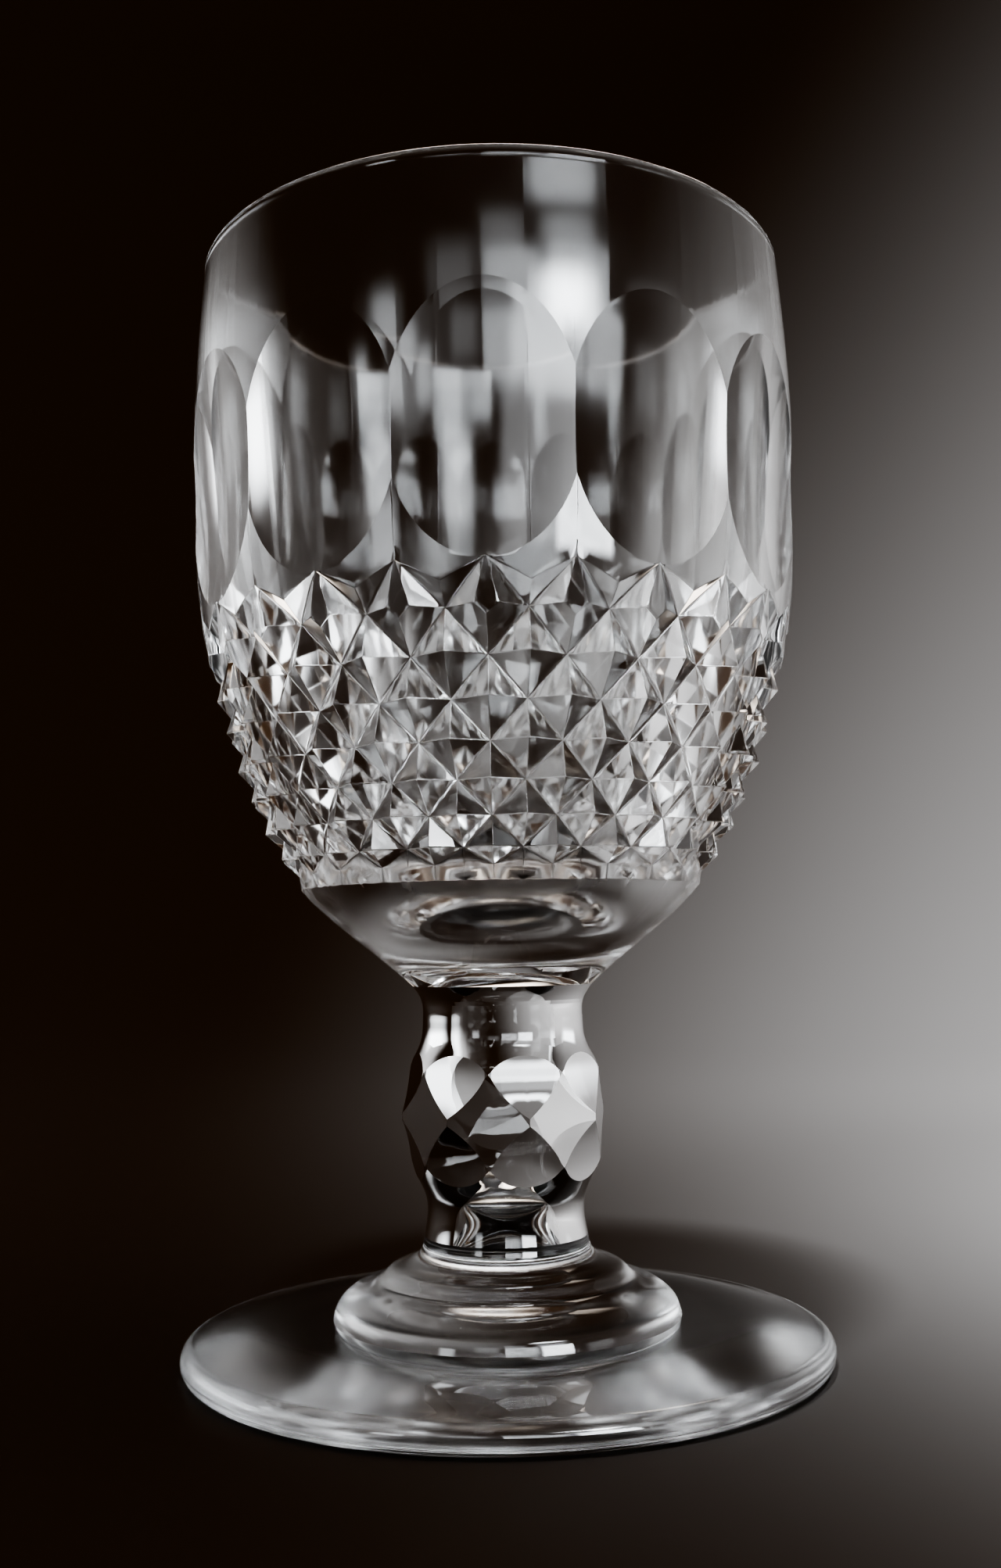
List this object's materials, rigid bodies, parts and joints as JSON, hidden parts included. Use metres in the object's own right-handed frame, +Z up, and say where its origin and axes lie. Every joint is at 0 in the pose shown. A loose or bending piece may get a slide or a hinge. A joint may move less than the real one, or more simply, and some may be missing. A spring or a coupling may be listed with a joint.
{
  "type": "wine glass",
  "caption": "Short-stemmed cut-crystal wine glass with a fluted and diamond-cut bowl, a faceted knop on the stem and a plain round foot.",
  "frame": {"origin": "middle of the foot's flat underside, on the glass's axis", "axes": "+Z up along the axis, towards the rim; -Y faces the middle of one flute"},
  "size_m": [0.07, 0.07, 0.121],
  "materials": {
    "crystal": "polished clear lead crystal"
  },
  "bodies": {
    "root": {"bowl": "crystal", "stem": "crystal", "foot": "crystal"}
  },
  "joints": []
}
